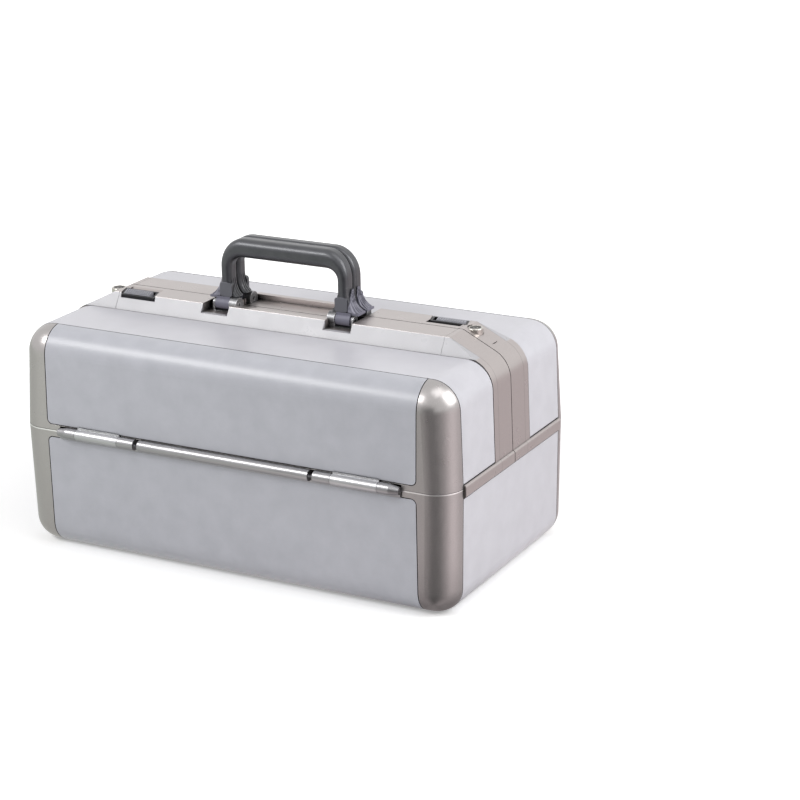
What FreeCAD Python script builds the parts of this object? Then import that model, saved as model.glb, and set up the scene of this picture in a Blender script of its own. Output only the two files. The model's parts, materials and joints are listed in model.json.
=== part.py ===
# Medicine case with rounded corners: a tray, two lids that meet along the middle and open
# outwards, and a carrying handle in two halves, one on each lid.
# Millimetres, Z up. The origin is the middle of the flat bottom. The front is towards -Y.
# Each lid and its fittings are made once, for the front, and turned half round for the back.

import FreeCAD
import Part
import math
import os

V = FreeCAD.Vector
X_AXIS = V(1, 0, 0)
Z_AXIS = V(0, 0, 1)
ORIGIN = V(0, 0, 0)

# Body of the case
case_length = 440.0
case_depth = 244.0
split_height = 114.0
lid_height = 93.0
tray_draft = 1.5
lid_draft = 2.8
corner_radius = 24.0
bottom_corner_radius = 25.0
top_corner_radius = 27.0
bottom_edge_radius = 23.5
top_edge_radius = 25.5
wall = 4.5
rim_width = 9.0
rim_height = 19.0
lid_gap = 1.0
split_gap = 0.3

# Skins let into the shells, and the corner posts that stay bare between them
skin_thickness = 1.2
bond_gap = 0.1
seam_gap = 0.8
post_width = 32.0
post_depth = 25.0
lid_skin_margin = 5.5
tray_skin_margin = 6.5
skin_corner_radius = 5.0

# Closing frame of a lid: the raised spine, the ramps at its ends and the end bands
band_half_depth = 35.0
band_thickness = 2.2
band_proud = 0.2
ridge_half_depth = 26.3
ridge_rise = 14.2
ridge_end_margin = 47.4
mitre_end_margin = 19.0
ramp_blend_radius = 27.0
spine_joint_margin = 52.0
spine_joint_gap = 0.2
spine_wall = 3.0
middle_wall = 2.5
ledge_depth = 5.0

# Bead along the foot of each end of a lid
bead_proud = 2.3
bead_thickness = 7.8
bead_above_split = 3.0
bead_below_split = 8.5
bead_corner_radius = 2.5
bead_gap = 0.3
bead_end_gap = 0.7

# Hinges
hinge_offset = 2.5
hinge_radius = 5.0
hinge_clearance = 0.3
hinge_pin_radius = 2.0
pin_clearance = 0.08
hinge_end_margin = 46.0
hinge_tail_length = 20.0
lid_knuckle_length = 45.0
tray_knuckle_length = 17.0
hinge_taper_length = 9.0
hinge_taper_radius = 3.4
strip_gap = 4.7
knuckle_gap = 0.3
leaf_thickness = 1.5
leaf_height = 6.4

# Handle
grip_half_height = 8.75
grip_half_depth = 7.3
grip_front_radius = 7.0
grip_back_radius = 3.0
grip_gap = 1.0
grip_rise = 74.0
leg_offset = 60.2
leg_half_width = 5.2
leg_corner_radius = 4.6
grip_bend_radius = 18.0
grip_bend_steps = 6
foot_height = 19.5
neck_height = 7.0
flare_half_width = 13.6
flare_half_depth = 5.9
flare_corner_radius = 3.5
flare_offset = 61.7
flare_setback = 7.4
flap_width = 12.5
flap_height = 13.0
flap_front = 15.2
flap_offset = 59.5
flap_thickness = 4.0
ear_width = 14.4
ear_offset = 62.1
fan_thickness = 1.3
fan_half_tip = 1.6
fan_tip_setback = 5.0
fan_shoulder_height = 4.5
fan_foot = 1.9
hub_radius = 5.8
neck_front = 15.8
neck_back = 3.5
handle_pivot_offset = 12.7
handle_pivot_rise = 12.5
handle_pin_radius = 2.2
pin_hole_radius = 1.25
pin_hole_depth = 3.0
inner_lug_radius = 6.5
inner_lug_offset = 50.75
inner_lug_thickness = 7.5
outer_lug_radius = 4.4
outer_lug_offset = 71.6
outer_lug_thickness = 2.0
bracket_plate = 1.2
bracket_half_depth = 5.6
fit_gap = 0.2
trough_half_depth = 20.7
trough_sink = 5.2
trough_end = 49.5
pocket_end_gap = 0.4
pocket_clearance = 0.6
hub_clearance = 0.4

# Latches
latch_end_margin = 70.8
latch_length = 36.5
latch_width = 16.3
latch_slant = 5.0
latch_height = 4.6
latch_setback = 20.85
latch_level = 13.5
latch_tilt = 4.0
latch_frame = 2.2
latch_floor = 1.2
latch_travel = 3.2
latch_button_rise = 0.4
latch_rib_count = 12
latch_rib_width = 1.0
latch_rib_height = 0.7
relief_inner = 6.5
relief_depth = 3.6
relief_overhang = 1.5
latch_stem_length = 8.0
latch_stem_width = 4.0
latch_hook_thickness = 1.6
latch_hook_reach = 13.0
keeper_length = 18.0
keeper_height = 6.0
keeper_thickness = 2.0

# Locks
lock_end_margin = 41.5
lock_setback = 11.8
lock_top_rise = 13.6
lock_collar_radius = 7.0
lock_collar_wall = 2.0
lock_plug_clearance = 0.1
lock_plug_drop = 0.4
key_slot_length = 5.2
key_slot_width = 1.0
key_slot_depth = 1.2
cam_length = 18.0
cam_width = 7.0
cam_thickness = 2.2
cam_rise = 1.4
cam_clearance = 0.6

# Linings
lining_thickness = 1.5
lining_gap = 0.3

# Heights and places worked out from the sizes above
lid_top = split_height + lid_height
half_length = case_length / 2
half_depth = case_depth / 2
skin_half_length = half_length - post_width
skin_half_depth = half_depth - post_depth
ridge_top = lid_top + ridge_rise
ridge_end = half_length - ridge_end_margin
mitre_end = half_length - mitre_end_margin
spine_joint = half_length - spine_joint_margin
lid_foot = split_height + split_gap
lid_edge = lid_gap / 2
hinge_y = -(half_depth + hinge_offset)
handle_y = -handle_pivot_offset
handle_z = lid_top + handle_pivot_rise
leg_foot = handle_z + neck_height
leg_taper_top = leg_foot + foot_height
grip_top = lid_top + grip_rise
grip_offset = grip_gap / 2 + grip_half_depth
fan_inner = flap_offset + flap_width / 2 + fit_gap
fan_outer = flare_offset + flare_half_width + fit_gap + fan_thickness
pocket_end = fan_outer + pocket_end_gap
trough_floor = ridge_top - trough_sink
pocket_floor = handle_z - hub_radius - hub_clearance
pocket_inner = neck_back - pocket_clearance
hinge_outer_end = half_length - hinge_end_margin
lid_knuckle_outer = hinge_outer_end - hinge_tail_length
lid_knuckle_inner = lid_knuckle_outer - lid_knuckle_length
tray_knuckle_inner = lid_knuckle_inner - knuckle_gap - tray_knuckle_length
bead_strip_half_length = tray_knuckle_inner - strip_gap
latch_offset = half_length - latch_end_margin
lock_offset = half_length - lock_end_margin
far = case_length


def box(x_range, y_range, z_range):
    """Box given by its low and high places along each axis."""
    size = [high - low for low, high in (x_range, y_range, z_range)]
    return Part.makeBox(size[0], size[1], size[2], V(x_range[0], y_range[0], z_range[0]))


def rod(radius, x_low, x_high, y, z):
    """Cylinder along X."""
    return Part.makeCylinder(radius, x_high - x_low, V(x_low, y, z), X_AXIS)


def post(radius, x, y, z_low, z_high):
    """Cylinder along Z."""
    return Part.makeCylinder(radius, z_high - z_low, V(x, y, z_low), Z_AXIS)


def half_turn(shape):
    """The shape turned half round the upright middle of the case."""
    turned = shape.copy()
    turned.rotate(ORIGIN, Z_AXIS, 180)
    return turned


def mirror_x(shape):
    """The shape mirrored from the left to the right."""
    return shape.mirror(ORIGIN, X_AXIS)


def rounded_path(points, radii, closed):
    """Wire of straight runs whose corners are arcs. A radius of 0 leaves a corner sharp."""
    count = len(points)
    starts = []
    ends = []
    arcs = []
    for index in range(count):
        corner = points[index]
        radius = radii[index]
        if radius == 0:
            starts.append(corner)
            ends.append(corner)
            arcs.append(None)
            continue
        before = (points[index - 1] - corner).normalize()
        after = (points[(index + 1) % count] - corner).normalize()
        half_angle = before.getAngle(after) / 2
        reach = radius / math.tan(half_angle)
        middle_way = (before + after).normalize()
        centre = corner + middle_way * (radius / math.sin(half_angle))
        first = corner + before * reach
        last = corner + after * reach
        starts.append(first)
        ends.append(last)
        arcs.append(Part.Arc(first, centre - middle_way * radius, last).toShape())
    edges = []
    runs = count if closed else count - 1
    for index in range(count):
        if arcs[index] is not None:
            edges.append(arcs[index])
        if index < runs:
            edges.append(Part.LineSegment(ends[index], starts[(index + 1) % count]).toShape())
    return Part.Wire(edges)


def rounded_rectangle(length, depth, radius, height):
    """Level rounded rectangle round the Z axis."""
    x = length / 2
    y = depth / 2
    corners = [V(x, -y, height), V(x, y, height), V(-x, y, height), V(-x, -y, height)]
    return rounded_path(corners, [radius] * 4, True)


def upright_window(half_width, z_low, z_high, radius, y_low, y_high):
    """Block through the case along Y whose outline, seen from the front, has round corners."""
    corners = [
        V(-half_width, y_low, z_low),
        V(half_width, y_low, z_low),
        V(half_width, y_low, z_high),
        V(-half_width, y_low, z_high),
    ]
    face = Part.Face(rounded_path(corners, [radius] * 4, True))
    return face.extrude(V(0, y_high - y_low, 0))


def level_edges(solid, height):
    """Edges of the solid that lie wholly at one height."""
    def at_height(edge):
        bounds = edge.BoundBox
        return abs(bounds.ZMin - height) < 0.001 and abs(bounds.ZMax - height) < 0.001
    return [edge for edge in solid.Edges if at_height(edge)]


def tray_envelope(inset):
    """Outer form of the tray, moved inwards by the inset."""
    draft = 2 * (tray_draft + inset)
    bottom = rounded_rectangle(
        case_length - draft, case_depth - draft, bottom_corner_radius - inset, inset
    )
    top = rounded_rectangle(
        case_length - 2 * inset, case_depth - 2 * inset, corner_radius - inset, split_height
    )
    body = Part.makeLoft([bottom, top], True, True)
    return body.makeFillet(bottom_edge_radius - inset, level_edges(body, inset))


def lid_envelope(inset):
    """Outer form of the two closed lids together, moved inwards by the inset."""
    draft = 2 * (lid_draft + inset)
    bottom = rounded_rectangle(
        case_length - 2 * inset, case_depth - 2 * inset, corner_radius - inset, split_height
    )
    top = rounded_rectangle(
        case_length - draft, case_depth - draft, top_corner_radius - inset, lid_top - inset
    )
    body = Part.makeLoft([bottom, top], True, True)
    return body.makeFillet(top_edge_radius - inset, level_edges(body, lid_top - inset))


def end_line(height):
    """Distance of the end bands' outer face from the middle at one height."""
    return half_length + band_proud - lid_draft * (height - split_height) / lid_height


def ramp_line(x):
    """Height of the ramp, which falls from the end of the ridge to the mitre on the lid's top."""
    slope = (ridge_top - lid_top) / (mitre_end - ridge_end)
    return ridge_top - (x - ridge_end) * slope


def ramp_foot():
    """Place where the ramp's line meets the line of the end bands."""
    x = end_line(lid_top)
    for _ in range(6):
        x = end_line(ramp_line(x))
    return x, ramp_line(x)


def spine_section(y, top_x, top_z, inset):
    """Outline of the spine, ramps and end bands on one plane across Y."""
    foot_x, foot_z = ramp_foot()
    side = [
        (end_line(split_height) - inset, split_height),
        (foot_x - inset, foot_z - inset),
        (mitre_end - inset, lid_top - inset),
        (top_x - inset, top_z - inset),
    ]
    radii = [0, ramp_blend_radius - inset, 0, 0]
    points = [V(x, y, z) for x, z in side] + [V(-x, y, z) for x, z in reversed(side)]
    return rounded_path(points, radii + radii[::-1], True)


def spine_envelope(inset):
    """Outer form of both closing frames together, moved inwards by the inset."""
    ridge = ridge_half_depth - 0.6 * inset
    band = band_half_depth - inset
    edge_end = mitre_end - split_gap
    sections = [
        spine_section(-band, edge_end, lid_top, inset),
        spine_section(-ridge, ridge_end, ridge_top, inset),
        spine_section(ridge, ridge_end, ridge_top, inset),
        spine_section(band, edge_end, lid_top, inset),
    ]
    return Part.makeLoft(sections, True, True)


def hinge_groove():
    """Channel round the front hinge line that keeps the walls clear of the barrels."""
    reach = hinge_outer_end + knuckle_gap
    return rod(hinge_radius + hinge_clearance, -reach, reach, hinge_y, split_height)


def front_region(grow):
    """Space of a front skin between the two corner posts, grown all round."""
    return (-(skin_half_depth - grow) - half_depth, -(skin_half_depth - grow))


def tray_front_window(grow):
    """Space of the tray's front skin."""
    y_low, y_high = front_region(grow)
    top = split_height - tray_skin_margin + grow
    radius = skin_corner_radius + grow
    half_width = skin_half_length + grow
    return upright_window(half_width, -case_depth, top, radius, y_low, y_high)


def lid_face_window(grow):
    """Space of the front lid's face skin."""
    y_low, y_high = front_region(grow)
    low = split_height + lid_skin_margin - grow
    radius = skin_corner_radius + grow
    return upright_window(skin_half_length + grow, low, far, radius, y_low, y_high)


def lid_top_window(grow):
    """Space of the skin that runs over the front lid from end to end."""
    y_range = (-(skin_half_depth + grow), -(band_half_depth + seam_gap / 2 - grow))
    low = split_height + bead_above_split + seam_gap / 2 - grow
    return box((-far, far), y_range, (low, far))


def tray_end_window(grow):
    """Space of the tray's left skin, which turns under the bottom edge."""
    top = split_height - bead_below_split - bead_gap - seam_gap / 2 + grow
    reach = skin_half_depth + grow
    return box((-far, -(skin_half_length - grow)), (-reach, reach), (-far, top))


def tray_base_window(grow):
    """Space of the panel under the tray."""
    reach_x = skin_half_length + grow
    reach_y = skin_half_depth + grow
    return box((-reach_x, reach_x), (-reach_y, reach_y), (-far, bottom_edge_radius / 2))


def end_notch():
    """Space above the tray's end walls that the beads of the lids fill."""
    reach = skin_half_depth + bead_gap / 2
    low = split_height - bead_below_split - bead_gap
    right = box((skin_half_length, far), (-reach, reach), (low, far))
    return right.fuse(mirror_x(right))


def rim_core(z_low, z_high):
    """Inside of the thick rim along the split."""
    outline = rounded_rectangle(
        case_length - 2 * rim_width,
        case_depth - 2 * rim_width,
        corner_radius - rim_width,
        z_low,
    )
    return Part.Face(outline).extrude(V(0, 0, z_high - z_low))


def tray_shell():
    """Moulded tray with its corner posts, rim and the shallow recesses of the skins."""
    rim_low = split_height - rim_height
    lower = tray_envelope(wall).common(box((-far, far), (-far, far), (-far, rim_low)))
    shell = tray_envelope(0).cut([lower, rim_core(rim_low, split_height + wall)])
    backing = tray_envelope(skin_thickness + bond_gap)
    grow = seam_gap / 2
    windows = [
        tray_front_window(grow),
        half_turn(tray_front_window(grow)),
        tray_end_window(grow),
        half_turn(tray_end_window(grow)),
        tray_base_window(grow),
    ]
    recess = windows[0].fuse(windows[1:]).cut(backing)
    grooves = [hinge_groove(), half_turn(hinge_groove())]
    return shell.cut([recess, end_notch()] + grooves)


def tray_skin(window):
    """One skin of the tray, cut from the outer form by its window."""
    skin = tray_envelope(0).cut(tray_envelope(skin_thickness))
    return skin.common(window).cut(end_notch())


def tray_lining():
    """Liner inside the tray, up to the rim."""
    outer = wall + lining_gap
    top = split_height - rim_height - lining_gap
    liner = tray_envelope(outer).cut(tray_envelope(outer + lining_thickness))
    return liner.common(box((-far, far), (-far, far), (-far, top)))


def front_half(low):
    """Everything on the front lid's side above a height."""
    return box((-far, far), (-far, -lid_edge), (low, far))


def lid_shell():
    """Moulded lid shell with its corner posts, open along the middle for the spine."""
    rim_top = split_height + rim_height
    upper = lid_envelope(wall).common(box((-far, far), (-far, far), (rim_top, far)))
    shell = lid_envelope(0).cut([upper, rim_core(split_height - wall, rim_top)])
    grow = seam_gap / 2
    skins = lid_face_window(grow).fuse(lid_top_window(grow))
    skins = skins.cut(lid_envelope(skin_thickness + bond_gap))
    band_reach = band_half_depth + grow
    band = box((-far, far), (-band_reach, band_reach), (split_height, far))
    band = band.cut(lid_envelope(band_thickness + bond_gap))
    opening_reach = band_half_depth - ledge_depth
    opening_x = mitre_end - ledge_depth
    opening = box(
        (-opening_x, opening_x), (-opening_reach, opening_reach), (lid_top - wall - 1, far)
    )
    bead = bead_space(bead_gap)
    shell = shell.cut([skins, band, opening, bead, mirror_x(bead), hinge_groove()])
    return shell.common(front_half(lid_foot))


def bead_space(grow):
    """Block of the left bead, grown all round by a clearance."""
    outer = half_length + bead_proud
    reach = skin_half_depth - bead_end_gap + grow
    x_range = (-far, -(outer - bead_thickness - grow))
    z_range = (split_height - far, split_height + bead_above_split + grow)
    return box(x_range, (-reach, reach), z_range)


def lid_face_skin():
    """Skin on the front of the lid, turning over the long top edge."""
    skin = lid_envelope(0).cut(lid_envelope(skin_thickness))
    return skin.common(lid_face_window(-seam_gap / 2))


def lid_top_skin():
    """Skin that runs over the lid and down both ends."""
    skin = lid_envelope(0).cut(lid_envelope(skin_thickness))
    return skin.common(lid_top_window(-seam_gap / 2))


def lid_lining():
    """Liner inside the lid, beside the spine."""
    outer = wall + lining_gap
    low = split_height + rim_height + lining_gap
    liner = lid_envelope(outer).cut(lid_envelope(outer + lining_thickness))
    return liner.common(box((-far, far), (-far, -band_half_depth), (low, far)))


def trough(grow):
    """Sunk channel in the spine between the legs of the handle."""
    reach = trough_half_depth + grow
    end = trough_end + grow
    return box((-end, end), (-reach, reach), (trough_floor - grow, far))


def ear_pocket(grow):
    """Notch beside the trough in which one ear of the handle swings, open down the slope."""
    x_range = (-(pocket_end + grow), -(trough_end - grow))
    y_range = (-band_half_depth, -(pocket_inner - grow))
    return box(x_range, y_range, (pocket_floor - grow, far))


def bracket_recess(grow):
    """Seat of one handle bracket in the floor of its pocket."""
    inner = inner_lug_offset - inner_lug_thickness / 2 - fit_gap
    outer = outer_lug_offset + outer_lug_thickness / 2 + fit_gap
    reach = bracket_half_depth + fit_gap + grow
    x_range = (-(outer + grow), -(inner - grow))
    y_range = (handle_y - reach, handle_y + reach)
    z_range = (pocket_floor - bracket_plate - grow, trough_floor + bracket_plate)
    return box(x_range, y_range, z_range)


def latch_frame_placement():
    """Placement of the front latch, tilted a little outwards over the ridge."""
    base = V(-latch_offset, -latch_setback, lid_top + latch_level)
    return FreeCAD.Placement(base, FreeCAD.Rotation(X_AXIS, latch_tilt))


def placed_latch(shape):
    """A latch piece moved from its own frame to its place on the front lid."""
    moved = shape.copy()
    moved.Placement = latch_frame_placement()
    return moved


def slanted_block(x_range, reach, z_range):
    """Block in the latch's own frame. Its ends slant towards the lock on the inner side."""
    shift = latch_slant * reach / latch_width
    corners = [
        V(x_range[0] + shift, -reach, z_range[0]),
        V(x_range[1] + shift, -reach, z_range[0]),
        V(x_range[1] - shift, reach, z_range[0]),
        V(x_range[0] - shift, reach, z_range[0]),
    ]
    face = Part.Face(Part.makePolygon(corners + corners[:1]))
    return face.extrude(V(0, 0, z_range[1] - z_range[0]))


def latch_pocket(grow):
    """Pocket in the spine for the latch frame."""
    reach_x = latch_length / 2 + fit_gap + grow
    reach_y = latch_width / 2 + fit_gap + grow
    depth = latch_height + fit_gap + grow
    return placed_latch(slanted_block((-reach_x, reach_x), reach_y, (-depth, far)))


def thumb_relief(grow):
    """Wedge cut out of the plateau beside the latch, deepest at the latch."""
    half = latch_length / 2 - relief_overhang + grow
    inner = relief_inner - grow
    outer = latch_setback - latch_width / 2 + relief_overhang
    deep = ridge_top - relief_depth - grow
    start = -latch_offset - half
    corners = [
        V(start, -inner, ridge_top - grow),
        V(start, -outer, deep),
        V(start, -outer, far),
        V(start, -inner, far),
    ]
    face = Part.Face(Part.makePolygon(corners + corners[:1]))
    return face.extrude(V(2 * half, 0, 0))


def latch_slot():
    """Slot under the latch in which its stem travels."""
    reach_y = latch_stem_width / 2 + fit_gap
    x_range = latch_stem_range()
    x_range = (x_range[0] - fit_gap, x_range[1] + latch_travel + fit_gap)
    return placed_latch(box(x_range, (-reach_y, reach_y), (-far, 0)))


def latch_button_range():
    """Ends of the latch button along its travel, in the latch's own frame."""
    reach = latch_length / 2 - latch_frame - fit_gap
    return -reach, reach - latch_travel


def latch_stem_range():
    """Ends of the latch stem along its travel."""
    start, end = latch_button_range()
    middle = (start + end) / 2
    return middle - latch_stem_length / 2, middle + latch_stem_length / 2


def cam_space():
    """Disc-shaped space in which the front lock's cam turns, on both sides of the split."""
    low = lid_top - band_thickness
    high = lid_top + cam_rise + cam_thickness - band_thickness + cam_clearance
    return post(cam_length + 2 * cam_clearance, -lock_offset, -lock_setback, low, high)


def lock_bore(grow):
    """Round hole for the front lock's collar."""
    radius = lock_collar_radius + fit_gap + grow
    return post(radius, -lock_offset, -lock_setback, lid_top - grow, far)


def spine_block():
    """The front lid's closing frame as one hollow piece, before it is cut into lengths."""
    outer = spine_envelope(0).common(front_half(lid_foot))
    outer = outer.cut(lid_envelope(band_thickness))
    reach = mitre_end - ledge_depth
    y_range = (-(band_half_depth - ledge_depth), -(lid_edge + middle_wall))
    hollow = box((-reach, reach), y_range, (lid_top - wall, far))
    hollow = hollow.common(spine_envelope(spine_wall))
    pads = [
        trough(spine_wall),
        ear_pocket(spine_wall),
        mirror_x(ear_pocket(spine_wall)),
        bracket_recess(spine_wall / 2),
        mirror_x(bracket_recess(spine_wall / 2)),
        latch_pocket(spine_wall / 2),
        thumb_relief(spine_wall / 2),
        lock_bore(spine_wall / 2),
    ]
    hollow = hollow.cut(pads)
    cuts = [
        hollow,
        trough(0),
        ear_pocket(0),
        mirror_x(ear_pocket(0)),
        bracket_recess(0),
        mirror_x(bracket_recess(0)),
        latch_pocket(0),
        thumb_relief(0),
        latch_slot(),
        lock_bore(0),
        cam_space(),
        half_turn(cam_space()),
    ]
    return outer.cut(cuts)


def bead_bar():
    """Bead along the foot of the left end of the front lid."""
    outer = half_length + bead_proud
    inner = outer - bead_thickness
    low = split_height - bead_below_split
    high = split_height + bead_above_split
    y_low = -(skin_half_depth - bead_end_gap)
    points = [
        V(-outer, y_low, low),
        V(-inner, y_low, low),
        V(-inner, y_low, high),
        V(-outer, y_low, high),
    ]
    radii = [bead_corner_radius, 0, 0, bead_corner_radius]
    face = Part.Face(rounded_path(points, radii, True))
    return face.extrude(V(0, -lid_edge - y_low, 0))


def spine_lengths():
    """The closing frame cut into the spine and its left and right end frames."""
    block = spine_block()
    half = spine_joint - spine_joint_gap / 2
    spine = block.common(box((-half, half), (-far, far), (0, far)))
    start = spine_joint + spine_joint_gap / 2
    left_end = block.common(box((-far, -start), (-far, far), (0, far)))
    right_end = block.common(box((start, far), (-far, far), (0, far)))
    left_end = left_end.fuse(bead_bar())
    right_end = right_end.fuse(mirror_x(bead_bar()))
    return spine, left_end.removeSplitter(), right_end.removeSplitter()


def barrel(x_low, x_high):
    """One length of hinge barrel on the front hinge line."""
    return rod(hinge_radius, x_low, x_high, hinge_y, split_height)


def tapered_barrel():
    """Outermost barrel of the left front hinge, drawn in towards its end."""
    taper_x = -hinge_outer_end + hinge_taper_length
    straight = barrel(taper_x, -(lid_knuckle_outer + knuckle_gap))
    cone = Part.makeCone(
        hinge_taper_radius,
        hinge_radius,
        hinge_taper_length,
        V(-hinge_outer_end, hinge_y, split_height),
        X_AXIS,
    )
    return straight.fuse(cone)


def pin_bore():
    """Bore for the hinge pins."""
    reach = hinge_outer_end
    return rod(hinge_pin_radius + pin_clearance, -reach, reach, hinge_y, split_height)


def leaf(x_low, x_high, z_low, z_high):
    """Leaf plate against the front wall beside the barrels."""
    back = half_depth + split_gap / 2
    return box((x_low, x_high), (-back - leaf_thickness, -back), (z_low, z_high))


def tray_hinge_strip():
    """Tray half of the front hinge: barrels, middle bead and the leaf that carries them."""
    strip = barrel(-bead_strip_half_length, bead_strip_half_length)
    inner = lid_knuckle_inner - knuckle_gap
    knuckle = barrel(-inner, -tray_knuckle_inner)
    left = tapered_barrel().fuse(knuckle)
    strip = strip.fuse([left, mirror_x(left)])
    low = split_height - leaf_height
    plate = leaf(-hinge_outer_end, hinge_outer_end, low, split_height - split_gap)
    reach = hinge_radius + hinge_clearance
    swing = rod(reach, -lid_knuckle_outer - knuckle_gap, -inner, hinge_y, split_height)
    plate = plate.cut([swing, mirror_x(swing)])
    reach = bead_strip_half_length
    bore = pin_bore().cut(box((-reach, reach), (-far, far), (0, far)))
    return strip.fuse(plate).cut(bore).removeSplitter()


def lid_hinge_knuckles():
    """Lid half of the front hinge: two knuckles, each with its leaf on the lid."""
    outer = -lid_knuckle_outer
    inner = -lid_knuckle_inner
    low = split_height + split_gap
    plate = leaf(outer, inner, low, split_height + leaf_height)
    left = barrel(outer, inner).fuse(plate).cut(pin_bore()).removeSplitter()
    return Part.makeCompound([left, mirror_x(left)])


def hinge_pins():
    """Two steel pins of the front hinge."""
    left = rod(hinge_pin_radius, -hinge_outer_end, -tray_knuckle_inner, hinge_y, split_height)
    return Part.makeCompound([left, mirror_x(left)])


def level_section(x, y, half_x, half_y, radius, z):
    """Level rounded rectangle of one leg of the handle."""
    section = rounded_rectangle(2 * half_x, 2 * half_y, radius, z)
    section.translate(V(x, y, 0))
    return section


def handle_leg(grow):
    """Foot of the left leg, flaring out towards the ear, grown sideways by a thickness."""
    drop = leg_taper_top - leg_foot
    # Height up the leg, share of the widening, share of the thinning
    stages = [
        (1.0, 0.0, 0.0),
        (0.58, 0.08, 0.25),
        (0.23, 0.42, 0.7),
        (0.0, 1.0, 1.0),
    ]
    sections = []
    for rise, widening, thinning in stages:
        x = leg_offset + widening * (flare_offset - leg_offset)
        y = grip_offset - thinning * (grip_offset - flare_setback)
        half_x = leg_half_width + widening * (flare_half_width - leg_half_width) + grow
        half_y = grip_half_depth - thinning * (grip_half_depth - flare_half_depth) + grow
        radius = leg_corner_radius + widening * (flare_corner_radius - leg_corner_radius) + grow
        sections.append(level_section(-x, -y, half_x, half_y, radius, leg_foot + rise * drop))
    return Part.makeLoft(sections, True, False)


def leg_fan():
    """Fan of the ear that lies against the outer flank of the left leg and ends in a tip."""
    shell = handle_leg(fit_gap + fan_thickness).cut(handle_leg(fit_gap))
    shell.translate(V(0, 0, -pin_clearance))
    low = leg_foot - pin_clearance
    shoulder = leg_foot + fan_shoulder_height
    front = -flare_setback - flare_half_depth - fan_thickness
    back = -flare_setback + flare_half_depth
    points = [
        V(-fan_outer, front, low - fan_foot),
        V(-fan_outer, front, shoulder),
        V(-fan_outer, -fan_tip_setback - fan_half_tip, leg_taper_top),
        V(-fan_outer, -fan_tip_setback + fan_half_tip, leg_taper_top),
        V(-fan_outer, back, shoulder),
        V(-fan_outer, back, low - fan_foot),
    ]
    outline = Part.Face(Part.makePolygon(points + points[:1]))
    fan = shell.common(outline.extrude(V(fan_outer - fan_inner, 0, 0)))
    return fan.fuse(box((-fan_outer, -fan_inner), (front, back), (low - fan_foot, low)))


def handle_flap():
    """Rounded pad on the front of the left leg's foot."""
    x_range = (-flap_offset - flap_width / 2, -flap_offset + flap_width / 2)
    y_range = (-flap_front, -flap_front + flap_thickness)
    pad = box(x_range, y_range, (leg_foot, leg_foot + flap_height))
    upright = [edge for edge in pad.Edges if abs(edge.tangentAt(0).y) > 0.9]
    return pad.makeFillet(flap_width / 5, upright)


def grip_section(angle):
    """Section of the left bend, from 0 degrees at the leg to 90 at the roll."""
    share = math.sin(math.radians(angle)) ** 2
    reach = leg_half_width + share * (grip_half_height - leg_half_width)
    front_radius = leg_corner_radius + share * (grip_front_radius - leg_corner_radius)
    back_radius = leg_corner_radius + share * (grip_back_radius - leg_corner_radius)
    outward = V(-math.cos(math.radians(angle)), 0, math.sin(math.radians(angle)))
    centre_z = grip_top - grip_half_height - grip_bend_radius
    centre = V(grip_bend_radius - leg_offset, -grip_offset, centre_z)
    middle = centre + outward * grip_bend_radius
    front = V(0, -grip_half_depth, 0)
    corners = [
        middle - outward * reach + front,
        middle + outward * reach + front,
        middle + outward * reach - front,
        middle - outward * reach - front,
    ]
    return rounded_path(corners, [front_radius, front_radius, back_radius, back_radius], True)


def handle_grip():
    """Front half of the handle: the roll, its two bends and the flared legs."""
    sections = [grip_section(90 * step / grip_bend_steps) for step in range(grip_bend_steps + 1)]
    bend = Part.makeLoft(sections, True, False)
    upright = Part.Face(sections[0])
    leg = upright.extrude(V(0, 0, leg_taper_top - upright.CenterOfMass.z))
    half_roll = Part.Face(sections[-1])
    half_roll = half_roll.extrude(V(-half_roll.CenterOfMass.x, 0, 0))
    left = half_roll.fuse([bend, leg, handle_leg(0), handle_flap()])
    return left.fuse(mirror_x(left)).removeSplitter()


def handle_ear():
    """Root of the left leg: a neck under the foot and the hub round the pivot."""
    x_low = -ear_offset - ear_width / 2
    x_high = -ear_offset + ear_width / 2
    hub = rod(hub_radius, x_low, x_high, handle_y, handle_z)
    neck = box((x_low, x_high), (-neck_front, -neck_back), (handle_z, leg_foot - pin_clearance))
    inner = -(inner_lug_offset + inner_lug_thickness / 2 + fit_gap)
    outer = -(outer_lug_offset - outer_lug_thickness / 2 - fit_gap)
    sleeve = rod(0.75 * hub_radius, outer, inner, handle_y, handle_z)
    bore = rod(handle_pin_radius + pin_clearance, -far, 0, handle_y, handle_z)
    return hub.fuse([neck, sleeve, leg_fan()]).cut(bore).removeSplitter()


def lug(offset, thickness, radius):
    """One round lug of the left bracket with the web that carries it."""
    x_range = (-offset - thickness / 2, -offset + thickness / 2)
    eye = rod(radius, x_range[0], x_range[1], handle_y, handle_z)
    reach = min(bracket_half_depth, radius)
    web = box(x_range, (handle_y - reach, handle_y + reach), (pocket_floor - bracket_plate, handle_z))
    return eye.fuse(web)


def handle_bracket():
    """Left bracket of the front handle: a plate with an inner and an outer lug."""
    x_range = (-outer_lug_offset, -inner_lug_offset)
    reach = bracket_half_depth
    z_range = (pocket_floor - bracket_plate, pocket_floor - pin_clearance)
    plate = box(x_range, (handle_y - reach, handle_y + reach), z_range)
    lugs = [
        lug(inner_lug_offset, inner_lug_thickness, inner_lug_radius),
        lug(outer_lug_offset, outer_lug_thickness, outer_lug_radius),
    ]
    bore = rod(handle_pin_radius + pin_clearance, -far, 0, handle_y, handle_z)
    return plate.fuse(lugs).cut(bore).removeSplitter()


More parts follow.
